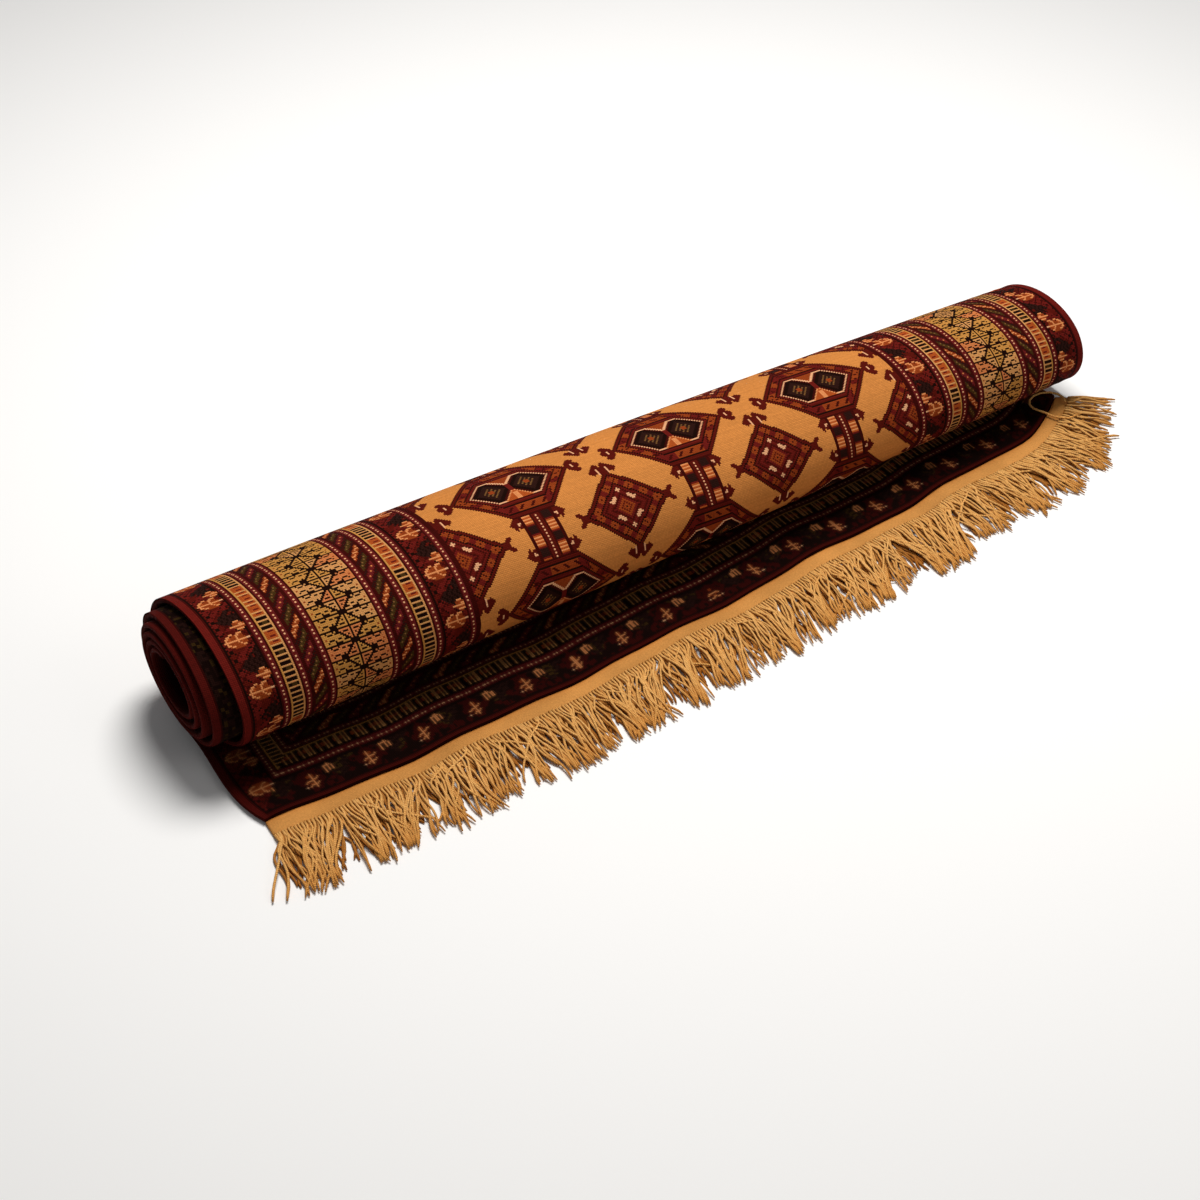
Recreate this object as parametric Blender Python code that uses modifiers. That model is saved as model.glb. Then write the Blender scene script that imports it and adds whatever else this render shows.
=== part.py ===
"""Rolled rug: a hand-knotted pile rug wound face inwards, its fringed end lying loose on the floor.

Metres, +Z up.  +X runs along the roll, -Y is the side where the loose end lies, and the roll
rests on a flat spot around the origin.  Sections of the roll are spirals that shrink from the
-X end to the +X end, flattened a little by the roll's own weight.
"""
import math

import bmesh
import bpy
import numpy as np
from mathutils import Matrix, Vector

# ---- the rug
RUG_WIDTH = 1.200            # selvedge to selvedge
RUG_THICKNESS = 0.0062       # knotted ground with its pile
FLATWEAVE_DEPTH = 0.025      # plain woven band between pile and fringe
FLATWEAVE_THICKNESS = 0.003
FRINGE_LENGTH = 0.088        # warp ends beyond the flat weave
FRINGE_THICKNESS = 0.006
GAP = 0.0003                 # between pieces that touch

# ---- the roll: one row for each end of the wound form
ROLL_ENDS = (
    # rim_x  half_width  half_height  side_pitch  stack_pitch  turns  core_rise
    (-0.600, 0.1034, 0.0798, 0.0114, 0.0092, 5.50, 0.008),
    (+0.600, 0.0833, 0.0643, 0.0078, 0.0066, 8.15, 0.000),
)
RIM_X, HALF_WIDTH, HALF_HEIGHT, SIDE_PITCH, STACK_PITCH, TURNS, CORE_RISE = range(7)
RISE_PITCHES = 0.25          # the nominal oval's centre stands this many pitches higher
INNER_SHIFT = -0.029         # the second and further turns lie this far along the roll
SHOULDER_PITCHES = 1.0       # how far in the roll's ends step to those turns
BARREL_BULGE = 0.0029        # extra radius halfway along
SEAM_Y = -0.010              # line where the outer turn leaves the floor
FLAT_SPOT_TURN = 12.0        # degrees of the outer turn that lie flat on the floor
TURN_STEPS = 64              # facets round one turn
SKIN_STATIONS = 9            # sections along the outer turn
CORE_STATIONS = 3            # sections along the hollow core

# ---- the loose end: one row for each section across the rug's width
LOOSE_END_X = -0.625         # its -X selvedge
LOOSE_SECTIONS = (
    # across  pile_edge_y  splay_deg  lift
    (0.00, -0.168, -3.0, 0.000),
    (0.10, -0.172, 0.0, 0.000),
    (0.25, -0.174, 0.0, 0.000),
    (0.40, -0.170, 2.0, 0.000),
    (0.55, -0.163, 4.0, 0.000),
    (0.65, -0.156, 5.0, 0.000),
    (0.75, -0.147, 5.0, 0.000),
    (0.90, -0.139, 6.0, 0.000),
    (1.00, -0.127, 8.0, 0.000),
    (1.08, -0.121, 12.0, 0.001),
    (1.13, -0.113, 24.0, 0.003),
    (1.17, -0.096, 42.0, 0.005),
    (1.20, -0.076, 66.0, 0.006),
)
ACROSS, PILE_EDGE_Y, SPLAY_DEG, LIFT = range(4)
CORNER_ROUNDING = 0.009      # how far the -X corner is drawn in
LOOSE_COLUMNS = 48           # facets across the width
LOOSE_ROWS = 6               # facets from the roll to the pile's edge

# ---- the fringe comb
TEETH = 46
COMB_BACK = 0.010            # solid strip that the teeth grow from
TOOTH_FILL = 0.90            # share of its pitch that a tooth's root takes
TIP_FILL = 0.62              # the same at its tip
LENGTH_WOBBLE = 0.09         # uneven tooth lengths, as a share of the length
LEAN_WOBBLE_DEG = 3.0        # uneven tooth directions
CORNER_SHORTENING = 0.30     # the splayed corner's teeth are shorter by this share

# ---- colours: name, red, green, blue, roughness
WOOL_BACK = ("rug_wool", 0.20, 0.035, 0.018, 0.90)
WOOL_FACE = ("rug_wool_face", 0.09, 0.012, 0.010, 0.95)
COTTON_WEAVE = ("cotton_weave", 0.62, 0.36, 0.12, 0.90)
COTTON_FRINGE = ("cotton_fringe", 0.66, 0.40, 0.15, 0.90)


def clear_scene():
    for existing in list(bpy.data.objects):
        bpy.data.objects.remove(existing, do_unlink=True)


def cloth_material(colour):
    name, red, green, blue, roughness = colour
    material = bpy.data.materials.new(name)
    material.use_nodes = True
    shader = material.node_tree.nodes["Principled BSDF"]
    shader.inputs["Base Color"].default_value = (red, green, blue, 1.0)
    shader.inputs["Roughness"].default_value = roughness
    shader.inputs["Metallic"].default_value = 0.0
    return material


def add_part(name, mesh, colour, collection):
    part = bpy.data.objects.new(name, mesh)
    collection.objects.link(part)
    mesh.materials.clear()
    mesh.materials.append(cloth_material(colour))
    return part


def roll_value(column, along):
    """A size of the roll at a share `along` of its length, from the -X end to the +X end."""
    start, end = ROLL_ENDS[0][column], ROLL_ENDS[1][column]
    value = start + (end - start) * along
    if column in (HALF_WIDTH, HALF_HEIGHT):
        value += BARREL_BULGE * 4.0 * along * (1.0 - along)
    return value


def section_point(x, along, turned, pitches_in, rise=0.0):
    """A point some pitches inside a section's nominal oval, turned from straight down to the back."""
    angle = 2.0 * math.pi * turned
    half_width = roll_value(HALF_WIDTH, along) - roll_value(SIDE_PITCH, along) * pitches_in
    half_height = roll_value(HALF_HEIGHT, along) - roll_value(STACK_PITCH, along) * pitches_in
    centre = roll_value(HALF_HEIGHT, along) + roll_value(STACK_PITCH, along) * RISE_PITCHES + rise
    return Vector((x, SEAM_Y + half_width * math.sin(angle), centre - half_height * math.cos(angle)))


def skin_ring(along):
    """The outer turn at one station: a spiral that ends one pitch further in than it starts."""
    ring = []
    for step in range(TURN_STEPS + 1):
        turned = step / TURN_STEPS
        point = section_point(roll_value(RIM_X, along), along, turned, turned - RISE_PITCHES)
        if 360.0 * turned <= FLAT_SPOT_TURN:
            point.z = 0.0
        ring.append(point)
    return ring


def inner_ring(along, pitches_in, rise=0.0):
    """A closed ring of the inner turns at one station."""
    x = roll_value(RIM_X, along) + INNER_SHIFT
    return [section_point(x, along, step / TURN_STEPS, pitches_in, rise)
            for step in range(TURN_STEPS)]


def core_ring(along):
    """The hollow core at one station: a closed ring inside the innermost turn."""
    return inner_ring(along, roll_value(TURNS, along) + RISE_PITCHES, roll_value(CORE_RISE, along))


def wound_form_mesh():
    """Loft the unlike sections of the roll: outer turn, stepped ends and hollow core."""
    bm = bmesh.new()
    skin = [[bm.verts.new(p) for p in skin_ring(i / (SKIN_STATIONS - 1))]
            for i in range(SKIN_STATIONS)]
    core = [[bm.verts.new(p) for p in core_ring(i / (CORE_STATIONS - 1))]
            for i in range(CORE_STATIONS)]
    for near, far in zip(skin, skin[1:]):
        for j in range(TURN_STEPS):
            bm.faces.new((near[j], far[j], far[j + 1], near[j + 1]))
        bm.faces.new((near[TURN_STEPS], far[TURN_STEPS], far[0], near[0]))
    for near, far in zip(core, core[1:]):
        for j in range(TURN_STEPS):
            after = (j + 1) % TURN_STEPS
            bm.faces.new((near[j], near[after], far[after], far[j]))
    for along, rim, bore in ((0.0, skin[0], core[0]), (1.0, skin[-1], core[-1])):
        shoulder = [bm.verts.new(p) for p in inner_ring(along, SHOULDER_PITCHES)]
        bm.faces.new((rim[TURN_STEPS], rim[0], rim[1], shoulder[1], shoulder[0]))
        for j in range(TURN_STEPS):
            after = (j + 1) % TURN_STEPS
            if j > 0:
                bm.faces.new((rim[j], rim[j + 1], shoulder[after], shoulder[j]))
            bm.faces.new((shoulder[j], shoulder[after], bore[after], bore[j]))
    bmesh.ops.triangulate(bm, faces=[f for f in bm.faces if len(f.verts) > 4])
    bmesh.ops.recalc_face_normals(bm, faces=bm.faces)
    mesh = bpy.data.meshes.new("wound_form")
    bm.to_mesh(mesh)
    bm.free()
    mesh.shade_smooth()
    mesh.set_sharp_from_angle(angle=math.radians(35.0))
    return mesh


def loose_value(column, across):
    """A size of the loose end at a distance across the rug, eased between its sections."""
    places = np.array([row[ACROSS] for row in LOOSE_SECTIONS])
    values = np.array([row[column] for row in LOOSE_SECTIONS])
    slopes = np.gradient(values, places)
    i = int(np.clip(np.searchsorted(places, across) - 1, 0, len(places) - 2))
    span = places[i + 1] - places[i]
    t = (across - places[i]) / span
    rise = values[i + 1] - values[i]
    ease = t * t * (3.0 - 2.0 * t)
    bend = t * (1.0 - t) * ((1.0 - t) * (slopes[i] * span) - t * (slopes[i + 1] * span))
    return float(values[i] + rise * ease + bend)


def pile_edge(across):
    """The pile's edge on the loose end, with the -X corner drawn in a little."""
    corner = CORNER_ROUNDING * math.exp(-across / 0.02)
    return Vector((LOOSE_END_X + across + corner, loose_value(PILE_EDGE_Y, across), 0.0))


def fringe_direction(across):
    """The way the warps leave the rug: toward -Y, splayed toward +X at the far corner."""
    splay = math.radians(loose_value(SPLAY_DEG, across))
    return Vector((math.sin(splay), -math.cos(splay), 0.0))


def sheet_part(name, place, rows, thickness, colour, collection):
    """A sheet on the floor: a grid primitive laid out by `place`, thickened upward."""
    bpy.ops.mesh.primitive_grid_add(x_subdivisions=LOOSE_COLUMNS, y_subdivisions=rows, size=1.0)
    grid = bpy.context.active_object
    mesh = grid.data
    for vertex in mesh.vertices:
        across = (vertex.co.x + 0.5) * RUG_WIDTH
        outward = 0.5 - vertex.co.y
        vertex.co = place(across, outward)
    bpy.data.objects.remove(grid)
    part = add_part(name, mesh, colour, collection)
    thicken = part.modifiers.new("thickness", "SOLIDIFY")
    thicken.thickness = thickness
    thicken.offset = 1.0
    return part


def loose_end_point(across, outward):
    """From the seam under the roll (outward 0) to the pile's edge (outward 1)."""
    edge = pile_edge(across)
    seam = Vector((LOOSE_END_X + across, SEAM_Y - GAP, 0.0))
    point = seam.lerp(edge, outward)
    point.z = loose_value(LIFT, across) * outward ** 2
    return point


def flatweave_point(across, outward):
    """From the pile's edge (outward 0) to the fringe's roots (outward 1)."""
    depth = GAP + (FLATWEAVE_DEPTH - GAP) * outward
    point = pile_edge(across) + fringe_direction(across) * depth
    point.z = loose_value(LIFT, across)
    return point


def fringe_root(across, depth):
    """A point on the fringe's back strip, `depth` beyond the flat weave."""
    start = FLATWEAVE_DEPTH + GAP
    point = pile_edge(across) + fringe_direction(across) * (start + depth)
    return point.to_2d()


def tooth_tip(number, side):
    """The tip of one clump of warp ends; side is -1 or +1."""
    centre = RUG_WIDTH * (number + 0.5) / TEETH
    half = 0.5 * RUG_WIDTH / TEETH * TIP_FILL
    splayed = min(1.0, max(0.0, loose_value(SPLAY_DEG, centre) / 60.0))
    uneven = 1.0 + LENGTH_WOBBLE * math.sin(2.4 * number + 0.7 * math.sin(1.3 * number))
    length = FRINGE_LENGTH * uneven * (1.0 - CORNER_SHORTENING * splayed)
    lean = math.radians(LEAN_WOBBLE_DEG * math.sin(1.7 * number + 0.5))
    way = fringe_direction(centre).to_2d()
    way.rotate(Matrix.Rotation(lean, 2))
    across_way = Vector((-way.y, way.x))
    return fringe_root(centre, COMB_BACK) + way * (length - COMB_BACK) + across_way * (side * half)


def fringe_outline():
    """The comb's outline: teeth along the outside, then back along its straight inner edge."""
    pitch = RUG_WIDTH / TEETH
    outline = []
    for number in range(TEETH):
        centre = (number + 0.5) * pitch
        half_root = 0.5 * pitch * TOOTH_FILL
        outline += [fringe_root(centre - half_root, COMB_BACK), tooth_tip(number, -1.0),
                    tooth_tip(number, +1.0), fringe_root(centre + half_root, COMB_BACK)]
    outline += [fringe_root(RUG_WIDTH * (1.0 - i / TEETH), 0.0) for i in range(TEETH + 1)]
    return outline


def fringe_part(collection):
    """The comb: a filled flat outline, extruded to the fringe's thickness on the floor."""
    curve = bpy.data.curves.new("fringe_outline", "CURVE")
    curve.dimensions = "2D"
    curve.fill_mode = "BOTH"
    curve.extrude = FRINGE_THICKNESS / 2.0
    points = fringe_outline()
    spline = curve.splines.new("POLY")
    spline.points.add(len(points) - 1)
    for control, point in zip(spline.points, points):
        control.co = (point.x, point.y, 0.0, 1.0)
    spline.use_cyclic_u = True
    part = add_part("fringe", curve, COTTON_FRINGE, collection)
    part.location.z = FRINGE_THICKNESS / 2.0
    return part


def main():
    clear_scene()
    collection = bpy.data.collections.new("rolled_rug")
    bpy.context.scene.collection.children.link(collection)
    add_part("rug_roll", wound_form_mesh(), WOOL_BACK, collection)
    sheet_part("loose_end", loose_end_point, LOOSE_ROWS, RUG_THICKNESS, WOOL_FACE, collection)
    sheet_part("flatweave_end", flatweave_point, 2, FLATWEAVE_THICKNESS, COTTON_WEAVE, collection)
    fringe_part(collection)


main()
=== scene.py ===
"""Looks of the rolled rug: wound cloth, its patterned back and pile, flat weave and fringe."""
import math

import bmesh
import bpy
import numpy as np
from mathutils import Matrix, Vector


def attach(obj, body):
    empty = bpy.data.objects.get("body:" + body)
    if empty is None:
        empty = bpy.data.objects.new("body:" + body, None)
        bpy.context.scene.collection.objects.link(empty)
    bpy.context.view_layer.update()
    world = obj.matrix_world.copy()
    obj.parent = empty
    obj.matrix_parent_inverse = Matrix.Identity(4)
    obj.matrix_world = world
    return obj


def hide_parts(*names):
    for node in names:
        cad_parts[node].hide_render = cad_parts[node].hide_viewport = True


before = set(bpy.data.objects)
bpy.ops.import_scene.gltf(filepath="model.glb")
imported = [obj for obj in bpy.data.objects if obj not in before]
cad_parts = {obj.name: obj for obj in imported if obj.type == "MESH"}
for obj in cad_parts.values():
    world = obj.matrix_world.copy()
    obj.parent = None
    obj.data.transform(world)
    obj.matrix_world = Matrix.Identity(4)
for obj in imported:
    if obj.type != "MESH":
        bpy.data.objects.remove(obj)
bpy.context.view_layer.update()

# ---------------- sizes, in metres
RUG_WIDTH = 1.200
RUG_LENGTH = 2.440           # pile, from the loose end's edge to the hidden inner end
THICKNESS = 0.0062
FLATWEAVE_DEPTH = 0.022
FLATWEAVE_THICKNESS = 0.003
FRINGE_LENGTH = 0.088
SKIN_LIFT = 0.0003           # the drawn surfaces lie this far outside the plain cloth

# the wound form, as in the CAD solid: one row for each end of the roll
ROLL_ENDS = (
    # half_width  half_height  side_pitch  stack_pitch  core_rise
    (0.1034, 0.0798, 0.0114, 0.0092, 0.008),
    (0.0833, 0.0643, 0.0078, 0.0066, 0.000),
)
HALF_WIDTH, HALF_HEIGHT, SIDE_PITCH, STACK_PITCH, CORE_RISE = range(5)
INNER_TURNS = 4.5                # turns over which the core's rise builds up
BARREL_BULGE = 0.0029
RISE_PITCHES = 0.25
SEAM_Y = -0.010
FLAT_SPOT_TURN = (8.0, 24.0)     # degrees over which the outer turn lifts off the floor
LOOSE_END_X = -0.625
ROLL_X = -0.600

# how far each stretch of the cloth is shifted along the roll: distance wound, shift
DRIFT = (
    # wound  shift
    (0.00, -0.025),
    (0.15, -0.012),
    (0.30, -0.003),
    (0.42, 0.000),
    (0.50, -0.003),
    (0.60, -0.015),
    (0.70, -0.025),
    (0.95, -0.029),
    (1.15, -0.033),
    (1.40, -0.036),
    (1.70, -0.038),
    (2.50, -0.038),
)

# the loose end: one row for each section across the rug's width
LOOSE_SECTIONS = (
    # across  pile_edge_y  splay_deg  lift
    (0.00, -0.168, -3.0, 0.000),
    (0.10, -0.172, 0.0, 0.000),
    (0.25, -0.174, 0.0, 0.000),
    (0.40, -0.170, 2.0, 0.000),
    (0.55, -0.163, 4.0, 0.000),
    (0.65, -0.156, 5.0, 0.000),
    (0.75, -0.147, 5.0, 0.000),
    (0.90, -0.139, 6.0, 0.000),
    (1.00, -0.127, 8.0, 0.000),
    (1.08, -0.121, 12.0, 0.001),
    (1.13, -0.113, 24.0, 0.003),
    (1.17, -0.096, 42.0, 0.005),
    (1.20, -0.076, 66.0, 0.006),
)
ACROSS, PILE_EDGE_Y, SPLAY_DEG, LIFT = range(4)
CORNER_ROUNDING = 0.009
CORNER_REACH = 0.02              # how far across the rounding of the -X corner fades out
SELVEDGE_BOW = 0.009             # how far the loose end's -X selvedge bows outward
BOW_REACH = 0.04                 # how far across the bow fades out
BOW_PEAK = 6.75                  # brings the bow's curve, share * (1 - share) ** 2, to 1 at most
RIPPLE = 0.0009                  # about how far the loose end lifts in ripples

# ---------------- pattern, in knots
KNOT = 0.002                 # one knot of the ground, both ways
KNOTS_ACROSS = 600
RUG_ROWS = int(RUG_LENGTH / KNOT)
MEDALLION_ROW = 213          # the row through a medallion's middle, near the roll's top
BORDER_ACROSS = 142          # knots from the selvedge to the field
END_STRETCH = 1.13           # the end border's knots are beaten a little looser
END_ROWS = (1.0, 11.4, 22.7, 29.8, 2000.0)      # rows from the end, and the border's depth there:
END_DEPTHS = (2.2, 13.5, 24.0, 30.0, 2000.2)    # its outer stripe is cut narrower
END_START = 28
ROW_PITCH = 77               # from one medallion row to the next
HALF_COLUMN = 52             # from a column of medallions to a column of diamonds
MEDALLION_COLUMNS = (196, 300, 404)
DIAMOND_COLUMNS = (144, 248, 352, 456)
FLORET_PITCH = 29
LEAF_PITCH = 8
GOLD_PITCH = 9
LATTICE_PITCH = 16

PALETTE = {                  # red, green, blue as seen, 0-255
    "camel": (204, 130, 64),
    "maroon": (84, 18, 10),
    "wine": (60, 10, 6),
    "ink": (26, 8, 4),
    "red": (100, 24, 18),
    "rust": (140, 58, 22),
    "orange": (168, 76, 30),
    "peach": (216, 136, 82),
    "white": (224, 164, 120),
    "navy": (42, 19, 14),
    "olive": (66, 44, 16),
    "purple": (98, 26, 26),
    "cream": (202, 142, 84),
    "yellow": (190, 132, 64),
    "blush": (198, 116, 66),
    "hazel": (116, 80, 42),
}
NAMES = list(PALETTE)
SHADE = {name: number for number, name in enumerate(NAMES)}

# stripes of the border, from the edge inward, in knots
STRIPES = (
    # first  last  kind
    (0, 3, "selvedge"),
    (4, 4, "dark"),
    (5, 21, "florets"),
    (22, 26, "beads"),
    (27, 34, "gold"),
    (35, 39, "beads"),
    (40, 48, "leaves"),
    (49, 53, "beads"),
    (54, 86, "lattice"),
    (87, 91, "beads"),
    (92, 100, "leaves"),
    (101, 105, "beads"),
    (106, 113, "gold"),
    (114, 118, "beads"),
    (119, 134, "florets"),
    (135, 139, "beads"),
    (140, 141, "dark"),
)

CHART_KEY = {"o": "orange", "p": "peach", "w": "white", "m": "maroon", "r": "rust"}
# columns run inward from the selvedge, rows along it
BIG_FLORET = """
....pp..ppp...
..pp.rrpprr...
.pporrrprrr...
.prorrrprrrr..
ppppppppppppww
.prrrrrprorr..
.pprrrrrprrr..
..rpprrrrpp...
....rrrrrr....
""".split()
SMALL_FLORET = """
...ppp..
..rrorr.
..rrrppr
pppppppp
..rrrorr
...pppp.
....rr..
""".split()
# the same on the pile, where only its pale strokes show
END_BIG_FLORET = """
............
.......p....
...p..p.....
..p..rp.r...
pppppppppp..
..pr.p..r...
.p..rp......
....p.......
.w..........
""".split()
END_SMALL_FLORET = """
..ppp...
.....p..
..ppppp.
.....p..
.ppppp..
""".split()
# the right half of the horns beyond a diamond's upper or lower tip
TIP_HORN = """
mmmw..m..
mmmwmmmm.
mmmwmmmmm
mmmwmmmmm
mmmwmmmm.
mmmmmmm..
.mmmmm...
.mmmm....
..mm.....
""".split()
# the same beyond its side tips
SIDE_HORN = """
mmm..
mmm..
mmmm.
mmmmm
..mmm
...mm
""".split()
# the upper half of the hook on a medallion's tip, tip to the right
ANCHOR = """
..mmm...
.mmmmm..
.mmmmmm.
..mmmmmm
.mmmmmmm
mmmmwmmm
mmmmwmmm
""".split()
# leaf beside the ladder, its root to the right
EAR = """
.....mm
...mmmm
..mmmmm
.mmmmmm
mmmmmww
.mmmmwm
..mmmmm
..mm.mm
...m...
""".split()


def stamp(image, chart, column, row, shape_mask):
    """Lay a small chart on the image where the given column and row numbers fall inside it."""
    inside = shape_mask & (row >= 0) & (row < len(chart)) & (column >= 0) & (column < len(chart[0]))
    table = np.array([[SHADE[CHART_KEY[mark]] if mark in CHART_KEY else -1 for mark in line]
                      for line in chart])
    found = table[np.where(inside, row, 0).astype(int), np.where(inside, column, 0).astype(int)]
    image[inside & (found >= 0)] = found[inside & (found >= 0)]


def brush_on(image, here):
    """A brush that colours the knots of the image that lie in `here` and in a further mask."""
    def brush(name, mask=True):
        image[here & mask] = SHADE[name]

    return brush


def scatter(first, second, salt):
    """An even hash of whole numbers to 0..1, for choosing colours."""
    value = (first.astype(np.int64) * 73856093) ^ (np.asarray(second).astype(np.int64) * 19349663)
    value = (value ^ (salt * 83492791)) & 0xFFFFFF
    value = (value * 1103515245 + 12345) & 0x7FFFFFFF
    return ((value >> 8) & 0xFFFF) / 65536.0


def paint_beads(image, here, step, along):
    brush = brush_on(image, here)
    brush("wine")
    brush("purple", (step == 1) | (step == 3))
    brush("red", step == 2)
    brush("white", (step == 2) & ((along % 5 == 0) | (along % 5 == 2)))


def paint_gold(image, here, step, along, rails=True):
    """Groups of rungs: between two rails on the back, and as a comb on the loose end's pile."""
    place = along % GOLD_PITCH
    number = along // GOLD_PITCH
    choice = scatter(number, 0, 3)
    inside = (step > 0) & (step < 7)
    brush = brush_on(image, here)
    if rails:
        brush("yellow")
        brush("cream", step == 7)
    else:
        brush("ink")
        brush("yellow", step == 7)
    warm = choice > (0.58 if rails else 0.25)
    brush("orange", inside & warm)
    brush("red", inside & warm & (step > 2) & (step < 6) & (place % 3 == 1))
    brush("ink", inside & ~warm)
    brush("olive", inside & ~warm & (step > 2) & (step < 6) & (place > 2) & (place < 6))
    rung = (place % 3 == 0) & ~(warm & rails & (place == 3))
    if not rails:
        rung = ((place == 0) | (place == 2) | (place == 5)) & (step < 7)
        brush("ink", inside & ((place > 6) | (step < 3) | (step > 5)))
    brush("cream", inside & rung)
    brush("peach", inside & rung & (step == 4) & (choice > 0.3))


def paint_leaves(image, here, step, along):
    """Slanted leaves in turn rust, olive and purple."""
    slid = along + (step * 11) // 8
    number = slid // LEAF_PITCH
    place = slid % LEAF_PITCH
    kind = number % 4
    brush = brush_on(image, here)
    brush("wine")
    brush("navy", place == 0)
    leaf = (place > 1) & (place < 7) & (step > 0) & (step < 8)
    brush("olive", leaf & (kind % 2 == 1))
    brush("rust", leaf & (kind == 0))
    brush("purple", leaf & (kind == 2))
    dots = (slid + step) % 2 == 0
    middle = (place > 2) & (place < 6)
    brush("peach", leaf & (kind == 0) & dots & middle)
    brush("blush", leaf & (kind == 2) & dots & (place == 4))
    brush("hazel", leaf & (kind % 2 == 1) & (place == 4) & (step % 3 != 1))
    brush("navy", leaf & (kind % 2 == 1) & (place == 2))


def paint_lattice(image, here, step, along):
    """A pale stripe with a zigzag of two knots round its middle line, barred and barbed."""
    off = np.abs(step - 16)
    side = (step > 16).astype(int)
    place = along % LATTICE_PITCH
    zigzag = np.where(place <= 8, place, LATTICE_PITCH - place)
    half_cell = along // 8
    half_place = along % 8
    inner = off < zigzag
    choice = scatter(half_cell * 2 + side, inner.astype(int), 11)
    brush = brush_on(image, here)
    brush("cream")
    brush("yellow", choice > 0.40)
    brush("blush", choice > 0.80)
    ovals = (off >= 11) & (off <= 13) & ((half_place == 2) | (half_place == 5))
    hooks = (off == 14) & ((half_place == 1) | (half_place == 6))
    hooks |= (off == 10) & ((half_place == 1) | (half_place == 6))
    brush("ink", ovals | hooks)
    brush("rust", (off == 15) & (half_place == 4))
    flecks = ~inner & (off > zigzag + 2) & (off < 10) & (half_place % 3 == 2) & (off % 3 != 0)
    brush("ink", flecks)
    bars = inner & (place % 2 == 0) & (off > 1) & (off < zigzag - 1)
    brush("ink", bars)
    brush("rust", bars & (off % 4 == 1))
    brush("ink", half_place == 0)
    brush("ink", (half_place == 7) & (off > 6) & (off < 11))
    brush("ink", ((off == zigzag) | (off == zigzag + 1)) & (off < 10))
    barbs = (off == zigzag + 2) | (off == zigzag + 3)
    brush("ink", barbs & (place % 4 == 2) & (off < 11))
    brush("ink", off == 0)


def paint_florets(image, here, step, along, rails=True):
    """A large and a small floret in turn, on cracked red cells and dark traced lozenges."""
    place = along % FLORET_PITCH
    from_dark = np.abs((place - 6 + 14) % FLORET_PITCH - 14)
    dark_side = step > 3 + 1.3 * from_dark
    mottle = scatter(along // 2, step // 2, 13)
    cell = scatter((along + step) // 5, (along - step) // 5, 29)
    brush = brush_on(image, here)
    brush("maroon" if rails else "ink")
    brush("red" if rails else "wine", cell > 0.45)
    crack = ((along + step) % 5 == 0) | ((along - step) % 5 == 0)
    brush("wine" if rails else "ink", crack & (mottle < 0.72))
    brush("ink", crack & (mottle < 0.30))
    brush("navy", dark_side)
    tracery = ((along + 2 * step) % 6 == 0) | ((along - 2 * step) % 6 == 3)
    brush("ink", dark_side & tracery)
    brush("maroon" if rails else "olive", dark_side & ~tracery & (mottle > 0.80))
    brush("ink", (step == 0) | (step == 16))
    halo = 0.75 * np.abs(step - 8) + np.abs(place - 20)
    brush("maroon" if rails else "wine", (halo < 7.0) & (step > 1))
    if rails:
        stamp(image, BIG_FLORET, step - 2, place - 16, here)
        stamp(image, SMALL_FLORET, step - 9, place - 9, here)
    else:
        stamp(image, END_BIG_FLORET, step - 3, place - 16, here)
        stamp(image, END_SMALL_FLORET, step - 9, place - 8, here)


STRIPE_PAINTERS = {
    "beads": paint_beads,
    "leaves": paint_leaves,
    "lattice": paint_lattice,
}


def paint_border(image, depth, along, inside, rails=True):
    """The border's stripes; `rails` is False on the loose end's pile, where they are darker."""
    for first, last, kind in STRIPES:
        here = inside & (depth >= first) & (depth <= last)
        if kind == "selvedge":
            brush_on(image, here)("red" if rails else "maroon")
        elif kind == "dark":
            brush_on(image, here)("wine")
        elif kind == "gold":
            paint_gold(image, here, depth - first, along, rails)
        elif kind == "florets":
            paint_florets(image, here, depth - first, along, rails)
        else:
            STRIPE_PAINTERS[kind](image, here, depth - first, along)


def paint_medallion(image, dx, dy, inside):
    """A stretched hexagon of nested outlines round two dark lozenges."""
    x = np.abs(dx)
    y = np.abs(dy)
    ring = np.maximum(y, x + y - 13)
    brush = brush_on(image, inside & (ring <= 24))
    brush("maroon")
    for number, name in ((24, "wine"), (21, "ink"), (15, "ink"), (13, "red"), (12, "wine"),
                         (11, "white")):
        brush(name, ring == number)
    band = (ring >= 16) & (ring <= 20)
    run = np.where(y >= x - 13, dx, dy * 2)
    brush("rust", band)
    brush("red", band & (scatter(run // 6, ring * 0, 23) > 0.72))
    brush("wine", band & ((run + ring) % 7 < 2) & (ring > 16) & (ring < 20))
    core = ring < 11
    brush("wine", core)
    from_lozenge = np.abs(x - 11)
    lozenge = core & (from_lozenge + y <= 11)
    brush("navy", lozenge)
    brush("ink", lozenge & (from_lozenge + y >= 9))
    brush("hazel", lozenge & (from_lozenge + y <= 5) & ((dx + dy) % 3 == 0))
    brush("rust", lozenge & (from_lozenge <= 1) & (y <= 1))
    middle = (ring < 12) & (x + np.abs(dy - 11) <= 8) & (dy <= 11)
    brush("orange", middle)
    brush("peach", middle & (x + np.abs(dy - 11) == 8))
    brush("peach", middle & (x <= 1) & (dy >= 6))
    notch = (ring < 12) & (x + np.abs(dy + 11) <= 8)
    brush("rust", notch)
    brush("white", notch & (x + np.abs(dy + 11) >= 7))
    brush("red", core & (x <= 1) & (y < 4))
    stamp(image, ANCHOR, 44 - x, 6 - y, inside & (x > 36))


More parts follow.
